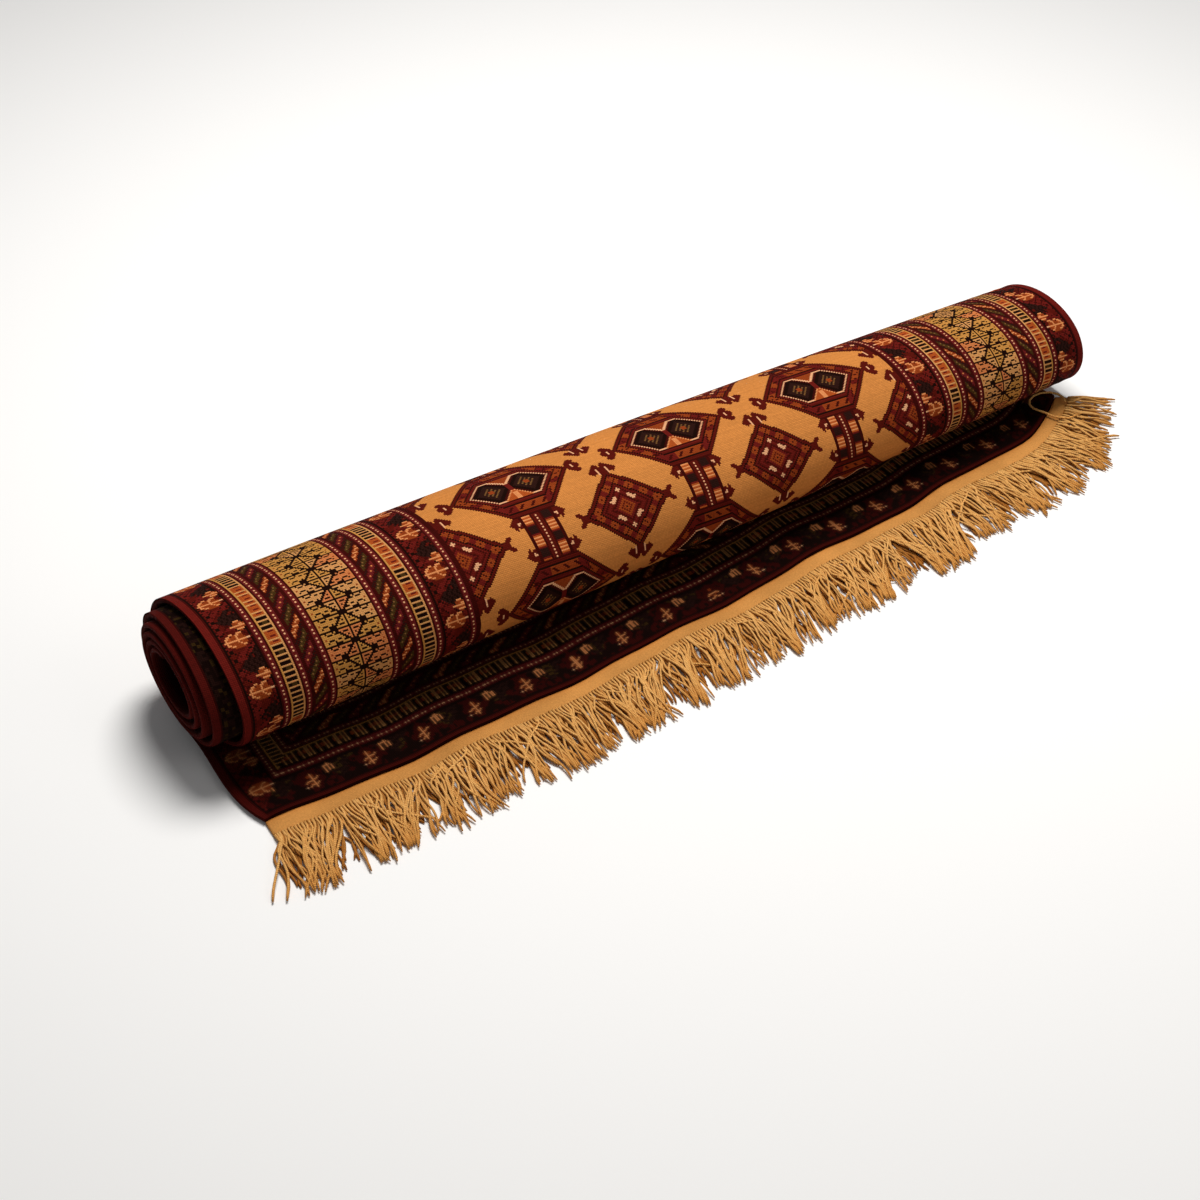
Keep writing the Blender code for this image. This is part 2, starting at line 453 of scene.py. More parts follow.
def paint_diamond(image, dx, dy, inside):
    """Nested stepped diamonds round a small square, horned at all four tips."""
    x = np.abs(dx)
    y = np.abs(dy)
    ring = np.round(0.93 * x + y).astype(int)
    brush = brush_on(image, inside & (ring <= 25))
    brush("maroon")
    for number, name in ((25, "wine"), (22, "ink"), (16, "ink"), (14, "red"), (13, "wine")):
        brush(name, ring == number)
    band = (ring >= 17) & (ring <= 21)
    run = np.where(dx * dy > 0, dx - dy, dx + dy)
    brush("rust", band)
    brush("red", band & (run % 12 < 5))
    brush("wine", band & (ring > 17) & (ring < 21) & (run % 12 == 8))
    core = ring < 13
    brush("red", core)
    brush("maroon", core & ((ring == 9) | (ring == 12)))
    brush("white", core & (ring >= 10) & (np.abs(x - y) <= 3))
    brush("white", core & (np.abs(y - 11) + x <= 1))
    brush("wine", core & (ring == 8))
    brush("rust", core & (ring <= 5))
    brush("maroon", core & (ring == 3))
    brush("ink", core & (ring == 0))
    stamp(image, TIP_HORN, x, y - 24, inside & (y >= 24))
    stamp(image, SIDE_HORN, y, x - 26, inside & (x >= 26))


def paint_ladder(image, dx, dy, inside):
    """The post between two medallions: two panels of bars round a beaded line, with ears."""
    x = np.abs(dx)
    y = np.abs(dy)
    brush = brush_on(image, inside & (x <= 10) & (y <= 14))
    brush("maroon")
    for low, high, phase in ((-8, -4, 0), (4, 8, 7)):
        panel = (dx >= low) & (dx <= high)
        place = (dy + 14 + phase) % 14
        brush("navy", panel)
        brush("orange", panel & (place < 7))
        brush("peach", panel & (place < 7) & (place % 2 == 1))
        brush("red", panel & ((place == 7) | (place == 13)))
    brush("wine", (x == 10) | (x == 9) | (x == 3))
    brush("white", (dx == 0) & (dy % 2 == 0))
    brush("red", (dx == 0) & (dy % 2 != 0))
    stamp(image, EAR, 17 - x, 14 - y, inside & (x > 10) & (y <= 14))


def paint_field(image, across, along, inside):
    """Rows of medallions joined by ladders, with diamonds between the columns."""
    brush_on(image, inside)("camel")
    half_row = ROW_PITCH // 2
    between_rows = along % ROW_PITCH - half_row
    from_row = (along + half_row) % ROW_PITCH - half_row
    for column in MEDALLION_COLUMNS:
        dx = across - column
        near = inside & (np.abs(dx) <= HALF_COLUMN)
        paint_ladder(image, dx, between_rows, near & (np.abs(dx) < 20))
        paint_medallion(image, dx, from_row, near)
    for column in DIAMOND_COLUMNS:
        dx = across - column
        paint_diamond(image, dx, between_rows, inside & (np.abs(dx) <= HALF_COLUMN))


def rug_pattern(across, along):
    """Palette numbers for knots: `across` from one selvedge, `along` from the loose end."""
    image = np.zeros(across.shape, int)
    from_side = np.minimum(across, KNOTS_ACROSS - 1 - across)
    beaten = np.minimum(along, RUG_ROWS - 1 - along) / END_STRETCH + 1.0
    from_end = np.floor(np.interp(beaten, END_ROWS, END_DEPTHS)).astype(int)
    depth = np.minimum(from_side, from_end)
    field = depth >= BORDER_ACROSS
    side = ~field & (from_side <= from_end)
    end = ~field & ~side
    paint_field(image, across, along - MEDALLION_ROW, field)
    paint_border(image, depth, along, side)
    mirrored = np.where(across < KNOTS_ACROSS // 2, across, KNOTS_ACROSS - 1 - across)
    along_end = np.floor((END_START - mirrored) / END_STRETCH).astype(int)
    paint_border(image, depth, along_end, end, rails=False)
    return image


# ---------------- how the cloth lies

def roll_size(column, along):
    """A size of the roll at a share `along` of its length, from the -X end to the +X end."""
    value = ROLL_ENDS[0][column] + (ROLL_ENDS[1][column] - ROLL_ENDS[0][column]) * along
    if column in (HALF_WIDTH, HALF_HEIGHT):
        value = value + BARREL_BULGE * 4.0 * along * (1.0 - along)
    return value


def smooth_step(value, low, high):
    t = np.clip((value - low) / (high - low), 0.0, 1.0)
    return t * t * (3.0 - 2.0 * t)


def loose_value(column, across):
    """A size of the loose end at distances across the rug, eased between its sections."""
    places = np.array([row[ACROSS] for row in LOOSE_SECTIONS])
    values = np.array([row[column] for row in LOOSE_SECTIONS])
    slopes = np.gradient(values, places)
    i = np.clip(np.searchsorted(places, across) - 1, 0, len(places) - 2)
    span = places[i + 1] - places[i]
    t = (across - places[i]) / span
    bend = t * (1.0 - t) * ((1.0 - t) * slopes[i] * span - t * slopes[i + 1] * span)
    return values[i] + (values[i + 1] - values[i]) * t * t * (3.0 - 2.0 * t) + bend


def pile_edge(across):
    """The pile's edge on the loose end: x and y for distances across the rug."""
    corner = CORNER_ROUNDING * np.exp(-across / CORNER_REACH)
    waver = 0.0022 * np.sin(across * 27.0 + 0.5) + 0.0011 * np.sin(across * 61.0)
    return LOOSE_END_X + across + corner, loose_value(PILE_EDGE_Y, across) + waver


def band_waver(across):
    """How unevenly wide the flat weave is."""
    return 0.0018 * np.sin(across * 19.0 + 1.0) + 0.0012 * np.sin(across * 43.0)


def fringe_direction(across):
    splay = np.radians(loose_value(SPLAY_DEG, across))
    return np.sin(splay), -np.cos(splay)


def loose_length(across):
    x, y = pile_edge(across)
    return np.hypot(LOOSE_END_X + across - x, SEAM_Y - y)


class LayLine:
    """The path of the rug's back at one distance across, from the loose edge to the core."""

    FLAP_STEPS = 60
    TURN_STEPS = 240
    TURNS = 9

    def __init__(self, across):
        along = across / RUG_WIDTH
        edge_x, edge_y = pile_edge(across)
        share = np.linspace(0.0, 1.0, self.FLAP_STEPS)[:-1]
        seam_x = LOOSE_END_X + across
        bow = SELVEDGE_BOW * BOW_PEAK * share * (1.0 - share) ** 2 * math.exp(-across / BOW_REACH)
        flap_x = edge_x + (seam_x - edge_x) * share - bow
        flap_y = edge_y + (SEAM_Y - edge_y) * share
        ripple = RIPPLE * (1.0 + np.sin(9.0 * across + 3.0 * share)) * (1.0 - share) ** 2
        flap_z = loose_value(LIFT, across) * (1.0 - share) ** 2 + ripple * 0.6
        turned = np.linspace(0.0, self.TURNS, self.TURNS * self.TURN_STEPS + 1)
        angle = 2.0 * math.pi * turned
        pitches_in = turned - RISE_PITCHES
        half_width = roll_size(HALF_WIDTH, along) - roll_size(SIDE_PITCH, along) * pitches_in
        half_height = roll_size(HALF_HEIGHT, along) - roll_size(STACK_PITCH, along) * pitches_in
        centre = roll_size(HALF_HEIGHT, along) + roll_size(STACK_PITCH, along) * RISE_PITCHES
        risen = np.clip((turned - 1.0) / INNER_TURNS, 0.0, 1.0)
        centre = centre + roll_size(CORE_RISE, along) * risen
        roll_y = SEAM_Y + half_width * np.sin(angle)
        roll_z = centre - half_height * np.cos(angle)
        first = turned < 0.2
        lifted = smooth_step(np.degrees(angle), *FLAT_SPOT_TURN)
        roll_z = np.where(first, roll_z * lifted, roll_z)
        y = np.concatenate([flap_y, roll_y])
        z = np.concatenate([flap_z, roll_z])
        self.turned = np.concatenate([np.zeros(len(share)), turned])
        flap_steps = np.hypot(np.diff(np.append(flap_x, seam_x)),
                              np.diff(np.append(flap_y, SEAM_Y)))
        roll_steps = np.hypot(np.diff(roll_y), np.diff(roll_z))
        self.place = np.concatenate([[0.0], np.cumsum(np.concatenate([flap_steps, roll_steps]))])
        self.flap = self.place[len(share)]
        wound = np.maximum(self.place - self.flap, 0.0)
        shift = np.interp(wound, [row[0] for row in DRIFT], [row[1] for row in DRIFT])
        x = np.concatenate([flap_x, ROLL_X + across + shift[len(share):]])
        self.points = np.stack([x, y, z], 1)
        run = np.hypot(np.gradient(y), np.gradient(z)) + 1e-9
        self.inward = np.stack([np.zeros(len(y)), -np.gradient(z) / run, np.gradient(y) / run], 1)

    def at(self, places):
        """Points of the back and inward directions at distances along the rug."""
        points = np.stack([np.interp(places, self.place, self.points[:, i]) for i in range(3)], -1)
        ways = np.stack([np.interp(places, self.place, self.inward[:, i]) for i in range(3)], -1)
        ways /= np.linalg.norm(ways, axis=-1, keepdims=True)
        return points, ways

    def place_at_turn(self, turned):
        roll = self.place[LayLine.FLAP_STEPS - 1:]
        return float(np.interp(turned, self.turned[LayLine.FLAP_STEPS - 1:], roll))


LINE_PLACES = np.linspace(0.0, RUG_WIDTH, 61)
LAY_LINES = [LayLine(float(across)) for across in LINE_PLACES]


def lay(across, places):
    """Points and inward directions for arrays of places, blended between the lay lines."""
    spacing = LINE_PLACES[1]
    number = np.clip((across / spacing).astype(int), 0, len(LAY_LINES) - 2)
    share = (across / spacing - number)[..., None]
    points = np.zeros(across.shape + (3,))
    ways = np.zeros(across.shape + (3,))
    for i in range(len(LAY_LINES) - 1):
        here = number == i
        if here.any():
            near_points, near_ways = LAY_LINES[i].at(places[here])
            far_points, far_ways = LAY_LINES[i + 1].at(places[here])
            points[here] = near_points * (1.0 - share[here]) + far_points * share[here]
            ways[here] = near_ways * (1.0 - share[here]) + far_ways * share[here]
    return points, ways


# ---------------- where the pattern falls
ROW_FROM_TOP = (-0.0325, 0.055)   # its place from the roll's top at the -X edge, and its slope


def pattern_shift(across):
    """How far along the cloth a row of the drawn pattern lies from its own number's place."""
    top = np.array([line.place_at_turn(0.5) for line in LAY_LINES])
    row_place = top + ROW_FROM_TOP[0] + ROW_FROM_TOP[1] * LINE_PLACES
    return np.interp(across, LINE_PLACES, row_place - MEDALLION_ROW * KNOT)


# ---------------- colours and materials

def linear(colour):
    share = np.array(colour, float) / 255.0
    return np.where(share <= 0.04045, share / 12.92, ((share + 0.055) / 1.055) ** 2.4)


PALETTE_LINEAR = np.array([linear(PALETTE[name]) for name in NAMES])


MATT = 0.03                  # specular level of wool, cotton and floor


def new_material(name, roughness):
    material = bpy.data.materials.new(name)
    material.use_nodes = True
    tree = material.node_tree
    shader = tree.nodes["Principled BSDF"]
    shader.inputs["Roughness"].default_value = roughness
    shader.inputs["Specular IOR Level"].default_value = MATT
    return material, tree, shader


def add_node(tree, kind, inputs, **settings):
    """A node with its settings, and its inputs linked to sockets or set to plain values."""
    node = tree.nodes.new("ShaderNode" + kind)
    for key, value in settings.items():
        setattr(node, key, value)
    for key, value in inputs.items():
        if isinstance(value, bpy.types.NodeSocket):
            tree.links.new(value, node.inputs[key])
        else:
            node.inputs[key].default_value = value
    return node.outputs


def math_node(tree, operation, *values):
    return add_node(tree, "Math", dict(enumerate(values)), operation=operation)[0]


def rib(tree, coordinate, pitch):
    """A row of rounded ridges along one coordinate: 0 in the grooves, 1 on the ridges."""
    turned = math_node(tree, "MULTIPLY", coordinate, math.pi / pitch)
    return math_node(tree, "ABSOLUTE", math_node(tree, "SINE", turned))


def noise(tree, vector, scale, detail):
    return add_node(tree, "TexNoise", {"Scale": scale, "Detail": detail, "Vector": vector})["Fac"]


def tinted(tree, colour, factor, low, high):
    """A colour scaled between two brightnesses by a 0..1 factor."""
    spread = add_node(tree, "MapRange", {"To Min": low, "To Max": high, "Value": factor})["Result"]
    return add_node(tree, "VectorMath", {0: colour, "Scale": spread}, operation="SCALE")["Vector"]


def knot_nodes(tree, pitch):
    """A piece's own colours, its places on the flat rug, and ridges across and along it."""
    colour = add_node(tree, "Attribute", {}, attribute_name="knots")["Color"]
    place = add_node(tree, "UVMap", {}, uv_map="rug")["UV"]
    split = add_node(tree, "SeparateXYZ", {0: place})
    return colour, place, rib(tree, split["X"], pitch), rib(tree, split["Y"], pitch)


def finish_cloth(tree, shader, colour, height, strength, distance):
    """Put the colour and a bump on the shader."""
    bump = add_node(tree, "Bump", {"Strength": strength, "Distance": distance, "Height": height})
    tree.links.new(colour, shader.inputs["Base Color"])
    tree.links.new(bump["Normal"], shader.inputs["Normal"])


def knotted_material(name, brightness, groove, bump_strength, softness):
    """Wool coloured knot by knot, with the grooves between knots and uneven dye."""
    material, tree, shader = new_material(name, 0.9)
    colour, place, across, along = knot_nodes(tree, KNOT)
    across_top = math_node(tree, "POWER", across, 0.45)
    along_top = math_node(tree, "POWER", along, 0.6)
    knot = math_node(tree, "MULTIPLY", across_top, along_top)
    fleck = noise(tree, place, 420.0, 2.0)
    drift = noise(tree, place, 9.0, 4.0)
    grooved = tinted(tree, colour, knot, brightness * groove, brightness)
    flecked = tinted(tree, grooved, fleck, 1.0 - softness, 1.0 + softness)
    faded = tinted(tree, flecked, drift, 0.86, 1.14)
    finish_cloth(tree, shader, faded, math_node(tree, "ADD", knot, fleck), bump_strength, 0.0006)
    return material


def cotton_material(name, rib_pitch):
    """Undyed cotton, ribbed by its warps and a little soiled."""
    material, tree, shader = new_material(name, 0.8)
    yarn, place, ribs, picks = knot_nodes(tree, rib_pitch)
    weave = math_node(tree, "MULTIPLY", ribs, picks)
    soil = noise(tree, place, 30.0, 5.0)
    slub = noise(tree, place, 380.0, 2.0)
    soiled = tinted(tree, yarn, soil, 0.80, 1.20)
    uneven = tinted(tree, soiled, slub, 0.80, 1.20)
    shaded = tinted(tree, uneven, weave, 0.66, 1.12)
    finish_cloth(tree, shader, shaded, math_node(tree, "ADD", weave, slub), 0.8, 0.0007)
    return material


def make_object(name, mesh, material):
    piece = bpy.data.objects.new(name, mesh)
    bpy.context.scene.collection.objects.link(piece)
    mesh.materials.append(material)
    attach(piece, "root")
    return piece


def grid_faces(rows, columns, keep=None):
    """Quads of a vertex grid, row by row; `keep` says which of them are wanted."""
    row, column = np.meshgrid(np.arange(rows - 1), np.arange(columns - 1), indexing="ij")
    if keep is not None:
        row, column = row[keep], column[keep]
    first = row.ravel() * columns + column.ravel()
    return np.stack([first, first + 1, first + columns + 1, first + columns], 1)


def mesh_from(name, points, faces):
    """A smooth mesh of the points that the faces use, and how those are numbered."""
    mesh = bpy.data.meshes.new(name)
    used = np.unique(faces)
    renumber = np.zeros(len(points), int)
    renumber[used] = np.arange(len(used))
    faces = renumber[faces]
    mesh.vertices.add(len(used))
    mesh.vertices.foreach_set("co", points[used].astype(np.float32).ravel())
    mesh.loops.add(faces.size)
    mesh.loops.foreach_set("vertex_index", faces.astype(np.int32).ravel())
    mesh.polygons.add(len(faces))
    starts = np.arange(0, faces.size, faces.shape[1], dtype=np.int32)
    mesh.polygons.foreach_set("loop_start", starts)
    mesh.update(calc_edges=True)
    mesh.polygons.foreach_set("use_smooth", np.ones(len(faces), bool))
    return mesh, used, faces


def set_uv(mesh, name, values):
    layer = mesh.uv_layers.new(name=name)
    layer.data.foreach_set("uv", values.astype(np.float32).ravel())


def set_knot_colours(mesh, values):
    """The colour of each face corner, which the materials read as `knots`."""
    layer = mesh.color_attributes.new(name="knots", type="FLOAT_COLOR", domain="CORNER")
    values = np.concatenate([values, np.ones((len(values), 1))], 1)
    layer.data.foreach_set("color", values.astype(np.float32).ravel())


# ---------------- the plain wound cloth

LOOSE_PART = 0.16            # about where the loose end goes under the roll


def rounded_edge():
    """Places in from an edge, and the cloth's half thickness there, for a round selvedge."""
    angles = np.linspace(0.0, math.pi / 2.0, 6)
    half = THICKNESS / 2.0
    return half * (1.0 - np.cos(angles)), half * np.sin(angles)


def cloth_colours(across, face_side):
    """Plain colours where layers show at the roll's ends: red selvedge, dark pile darkened further
    as painted shade of the gaps between turns, red back.
    """
    from_edge = np.minimum(across, RUG_WIDTH - across)[..., None]
    red, maroon, wine = (linear(PALETTE[name]) for name in ("red", "maroon", "wine"))
    back = np.where(from_edge < 0.010, red, maroon)
    # painted shade: past 4 mm the pile side is half the wine colour, dark wool plus the shade
    # between turns where it shows
    pile = np.where(from_edge < 0.004, maroon, wine * 0.5)
    return np.where(face_side[..., None], pile, back)


def wound_cloth(material):
    """The whole rug as one closed thick sheet, with round selvedges."""
    insets, halves = rounded_edge()
    middle = np.linspace(0.012, RUG_WIDTH - 0.012, 37)
    across = np.concatenate([insets, middle, RUG_WIDTH - insets[::-1]])
    half = np.concatenate([halves, np.full(len(middle), THICKNESS / 2.0), halves[::-1]])
    places = np.concatenate([np.linspace(0.0, LOOSE_PART, 28)[:-1],
                             np.linspace(LOOSE_PART, RUG_LENGTH, 400)])
    count = len(across)
    grid_across, grid_places = np.meshgrid(across, places)
    points, ways = lay(grid_across, grid_places)
    half = half[None, :, None]
    back = points + ways * (THICKNESS / 2.0 - half)
    face = points + ways * (THICKNESS / 2.0 + half)
    around = np.concatenate([back, face[:, 1:-1][:, ::-1]], 1)
    columns = around.shape[1]
    rows = len(places)
    row, column = np.meshgrid(np.arange(rows - 1), np.arange(columns), indexing="ij")
    after = (column + 1) % columns
    quads = np.stack([row * columns + column, (row + 1) * columns + column,
                      (row + 1) * columns + after, row * columns + after], -1).reshape(-1, 4)
    caps = [(i, i + 1, columns - i - 1, (columns - i) % columns) for i in range(count - 1)]
    bm = bmesh.new()
    flat = around.reshape(-1, 3)
    verts = [bm.verts.new(p) for p in flat]
    for quad in quads:
        bm.faces.new([verts[i] for i in quad])
    for start, flip in ((0, False), ((rows - 1) * columns, True)):
        for quad in caps:
            ring = list(dict.fromkeys(corner + start for corner in quad))
            bm.faces.new([verts[i] for i in (ring[::-1] if flip else ring)])
    bmesh.ops.recalc_face_normals(bm, faces=bm.faces)
    mesh = bpy.data.meshes.new("rug_cloth")
    bm.to_mesh(mesh)
    bm.free()
    mesh.polygons.foreach_set("use_smooth", np.ones(len(mesh.polygons), bool))
    corner = np.zeros(len(mesh.loops), np.int32)
    mesh.loops.foreach_get("vertex_index", corner)
    around_across = np.concatenate([across, across[1:-1][::-1]])
    around_face = np.concatenate([np.zeros(count, bool), np.ones(count - 2, bool)])
    u = around_across[corner % columns]
    v = places[corner // columns]
    face_side = around_face[corner % columns]
    colours = cloth_colours(u, face_side)
    set_knot_colours(mesh, colours)
    set_uv(mesh, "rug", np.stack([u + 1.3 * face_side, v], 1))
    return make_object("rug_cloth", mesh, material)


# ---------------- the drawn surfaces

def knot_skin(name, columns, rows, places_of, side, keep_of, material, unwrap, soft=0.0,
              pattern=rug_pattern):
    """A surface with one face for each knot, coloured by the pattern."""
    corner_across = columns * KNOT
    grid_across, grid_rows = np.meshgrid(corner_across, rows)
    places = places_of(grid_across, grid_rows)
    points, ways = lay(grid_across, places)
    if side == "back":
        points = points - ways * SKIN_LIFT
    else:
        points = points + ways * (THICKNESS + SKIN_LIFT)
    keep = keep_of(grid_across[:-1, :-1], places[:-1, :-1])
    faces = grid_faces(len(rows), len(columns), keep)
    if side == "back":
        faces = faces[:, ::-1]
    mesh, used, faces = mesh_from(name, points.reshape(-1, 3), faces)
    knot_across, knot_along = np.meshgrid(columns[:-1], rows[:-1])
    colours = PALETTE_LINEAR[pattern(knot_across, knot_along)]
    vary = 0.93 + 0.14 * scatter(knot_across, knot_along, 17)
    row_dye = 0.95 + 0.10 * scatter(knot_along, 0, 19)
    colours = colours * (vary * row_dye)[..., None]
    if soft:
        padded = np.pad(colours, ((1, 1), (1, 1), (0, 0)), mode="edge")
        spread = (padded[:-2, 1:-1] + padded[2:, 1:-1] + padded[1:-1, :-2] + padded[1:-1, 2:]) / 4.0
        colours = colours * (1.0 - soft) + spread * soft
    set_knot_colours(mesh, np.repeat(colours[keep], 4, axis=0))
    flat_uv = np.stack([grid_across, grid_rows * KNOT], -1).reshape(-1, 2)[used]
    set_uv(mesh, "rug", flat_uv[faces].reshape(-1, 2))
    set_uv(mesh, "OFBake", unwrap(flat_uv[faces]).reshape(-1, 2))
    return make_object(name, mesh, material)


def in_strips(strips, low, high):
    """A bake layout: the width cut into strips that are stacked in the square."""
    width = RUG_WIDTH / strips

    def unwrap(corners):
        middle = corners.mean(axis=1, keepdims=True)
        number = np.clip(np.floor(middle[..., 0] / width), 0, strips - 1)
        across = (corners[..., 0] - number * width) / width
        along = (corners[..., 1] - low) / (high - low)
        margin = 0.004
        x = margin + across * (1.0 - 2.0 * margin)
        y = (number + margin + np.clip(along, 0.0, 1.0) * (1.0 - 2.0 * margin)) / strips
        return np.stack([x, y], -1)

    return unwrap


ALL_COLUMNS = np.arange(KNOTS_ACROSS + 1)


def turned_at(across, places):
    turned = np.zeros(across.shape)
    number = np.clip((across / LINE_PLACES[1]).astype(int), 0, len(LAY_LINES) - 1)
    for i, line in enumerate(LAY_LINES):
        here = number == i
        if here.any():
            turned[here] = np.interp(places[here], line.place, line.turned)
    return turned


def back_skins(material):
    """The patterned back on the outer turn, in a rear half and an upper and front half."""
    def places_of(across, rows):
        return rows * KNOT + pattern_shift(across)

    pieces = []
    for name, low_turn, high_turn in (("knotted_back_rear", 0.02, 0.38),
                                      ("knotted_back_top", 0.38, 0.985)):
        starts = [line.place_at_turn(low_turn) for line in LAY_LINES]
        ends = [line.place_at_turn(high_turn) for line in LAY_LINES]
        shifts = pattern_shift(LINE_PLACES)
        low = int(np.floor((starts - shifts).min() / KNOT))
        high = int(np.ceil((ends - shifts).max() / KNOT))
        rows = np.arange(low, high + 1)

        def keep_of(across, places, low_turn=low_turn, high_turn=high_turn):
            turned = turned_at(across, places)
            return (turned >= low_turn) & (turned < high_turn)

        unwrap = in_strips(2, low * KNOT, high * KNOT)
        pieces.append(knot_skin(name, ALL_COLUMNS, rows, places_of, "back", keep_of,
                                material, unwrap))
    return pieces


INNER_COLUMNS = 24
INNER_START, INNER_END = 0.99, 2.1     # the turns that it covers
INNER_STRIPS = 5                       # into how many its bake layout is cut


def inner_skin(material):
    """The back of the second turn where it stands out of the -X end, drawn dark as painted shade of
    the outer turn.
    """
    columns = np.arange(INNER_COLUMNS)
    edge = columns[-1] * KNOT
    low = int(LAY_LINES[0].place_at_turn(INNER_START) / KNOT)
    high = int(LAY_LINES[0].place_at_turn(INNER_END) / KNOT)
    rows = np.arange(low, high)

    def places_of(across, row_numbers):
        return row_numbers * KNOT

    def keep_of(across, places):
        return turned_at(across, places) >= INNER_START

    def painted_shade_pattern(across, along):
        """The border seen between two turns: a red selvedge, then dark mottled wool painted as the
        outer turn's shadow.
        """
        # painted shade: past the selvedge, ink, navy and olive mottle stand in for the outer turn's
        # shadow on the pattern
        image = np.full(across.shape, SHADE["ink"])
        mottle = scatter(along // 2, across // 2, 31)
        brush = brush_on(image, True)
        brush("navy", mottle > 0.45)
        brush("olive", mottle > 0.86)
        brush("wine", across <= 4)
        brush("red", across <= 3)
        return image

    def unwrap(corners):
        step = (corners[..., 1] - low * KNOT) / ((high - low) * KNOT) * INNER_STRIPS
        strip = np.clip(np.floor(step.mean(axis=1, keepdims=True)), 0, INNER_STRIPS - 1)
        y = 0.01 + np.clip(step - strip, 0.0, 1.0) * 0.98
        x = (strip + 0.06 + corners[..., 0] / edge * 0.88) / INNER_STRIPS
        return np.stack([x, y], -1)

    return knot_skin("knotted_back_inner", columns, rows, places_of, "back", keep_of,
                     material, unwrap, pattern=painted_shade_pattern)


PILE_ROWS = 76
PILE_STOP = 0.012            # the drawn pile ends this far short of the roll's seam


def pile_skin(material):
    """The pile on the loose end, from its edge to well under the roll."""
    rows = np.arange(PILE_ROWS)

    def places_of(across, row_numbers):
        return row_numbers * KNOT

    def keep_of(across, places):
        return places < loose_length(across) - PILE_STOP

    unwrap = in_strips(3, 0.0, rows[-1] * KNOT)
    return knot_skin("pile_face", ALL_COLUMNS, rows, places_of, "face", keep_of, material,
                     unwrap, soft=0.35)


# ---------------- flat weave and fringe

WEAVE_COLOUR = (220, 154, 82)
RED_REACH = 0.004            # how far from the pile the weave is drawn darker and redder
UNDERSIDE_SHIFT = 0.05       # keeps the underside apart from the top on the flat rug


def flat_weave(material):
    """The cotton band beyond the pile, a thin closed sheet that swells a little in places."""
    columns, rows = 301, 7
    across, out = np.meshgrid(np.linspace(0.0, RUG_WIDTH, columns), np.linspace(0.0, 1.0, rows))
    edge_x, edge_y = pile_edge(across)
    way_x, way_y = fringe_direction(across)
    depth = 0.0003 + (FLATWEAVE_DEPTH + band_waver(across)) * out
    lift = loose_value(LIFT, across) * (1.0 - 0.5 * out)
    swell = 0.0008 * np.sin(across * 17.0) * np.sin(out * math.pi) + 0.0004
    height = lift + FLATWEAVE_THICKNESS * (1.0 - 0.3 * out ** 4) + np.maximum(swell, 0.0)
    top = np.stack([edge_x + way_x * depth, edge_y + way_y * depth, height], -1)
    bottom = top.copy()
    bottom[..., 2] = lift + 0.0002
    points = np.concatenate([top, bottom]).reshape(-1, 3)
    upper = grid_faces(rows, columns)[:, ::-1]
    lower = grid_faces(rows, columns) + rows * columns
    ring = np.concatenate([
        np.arange(columns),
        np.arange(1, rows) * columns + columns - 1,
        (rows - 1) * columns + np.arange(columns - 2, -1, -1),
        np.arange(rows - 2, 0, -1) * columns])
    after = np.roll(ring, -1)
    wall = np.stack([ring, after, after + rows * columns, ring + rows * columns], 1)
    mesh = mesh_from("flat_weave", points, np.concatenate([upper, lower, wall]))[0]
    bm = bmesh.new()
    bm.from_mesh(mesh)
    bmesh.ops.recalc_face_normals(bm, faces=bm.faces)
    bm.to_mesh(mesh)
    bm.free()
    flat = np.stack([across, out * FLATWEAVE_DEPTH], -1).reshape(-1, 2)
    flat = np.concatenate([flat, flat + (0.0, UNDERSIDE_SHIFT)])
    corner = np.zeros(len(mesh.loops), np.int32)
    mesh.loops.foreach_get("vertex_index", corner)
    set_uv(mesh, "rug", flat[corner])
    u, v = flat[corner].T
    blotch = 0.5 + 0.25 * np.sin(u * 53.0) + 0.25 * np.sin(u * 17.0 + v * 90.0)
    near_pile = np.exp(-(v % UNDERSIDE_SHIFT) / RED_REACH)
    shade = (linear(WEAVE_COLOUR) * (0.90 + 0.20 * blotch)[:, None]
             * (1.0 - near_pile[:, None] * (0.10, 0.28, 0.45)))
    set_knot_colours(mesh, shade)
    return make_object("flat_weave", mesh, material)


YARN_COLOUR = (242, 184, 110)
HANDLED_SHADE = np.array((0.90, 0.84, 0.74))    # what the most handled yarn is darkened by
LAYER_PAINTED_SHADES = (0.60, 0.93, 1.00)               # painted shade: the lowest strands are drawn darkest, for the shadow of the strands above them
TIP_SHADE = np.array((0.84, 0.72, 0.56))
FRINGE_SEED = 7
STRAND_SIDES = 6
STRAND_STEPS = 14
FRINGE_KNOTS = 300
STRANDS_PER_KNOT = 4
STRAND_LAYERS = (0, 0, 1, 2)    # how high each strand of a knot lies in the heap
# by layer, from the floor up: each strand's height at rest and its hump, how much of that it
# loses at its tip, and how far it joins its clump's middle and shares its clump's lean
RESTS = (0.0013, 0.0038, 0.0064)
HUMPS = (0.0, 0.0010, 0.0022)
TIP_DROPS = (0.1, 0.45, 0.6)
GATHERED = (0.15, 0.50, 0.62)
SWAYED = (0.3, 1.0, 1.0)
CLUMPS = 78
FRINGE_ROOT = 0.0190         # the strands leave the weave this far beyond the pile
ROOT_HEIGHT = 0.0032
WAVES = (0.0014, 0.0056)     # how far a strand swings aside in its waves
WAVE_TURNS = (3.5, 7.5)      # and through what angle they run, in radians
STRAND_RADIUS = 0.00130
STRAND_LENGTH = FRINGE_LENGTH + 0.003
ROOT_MARGIN = 0.0015         # no strand leaves the weave nearer to a selvedge than this
STRAYS = 34                  # longer waves that lie across the others
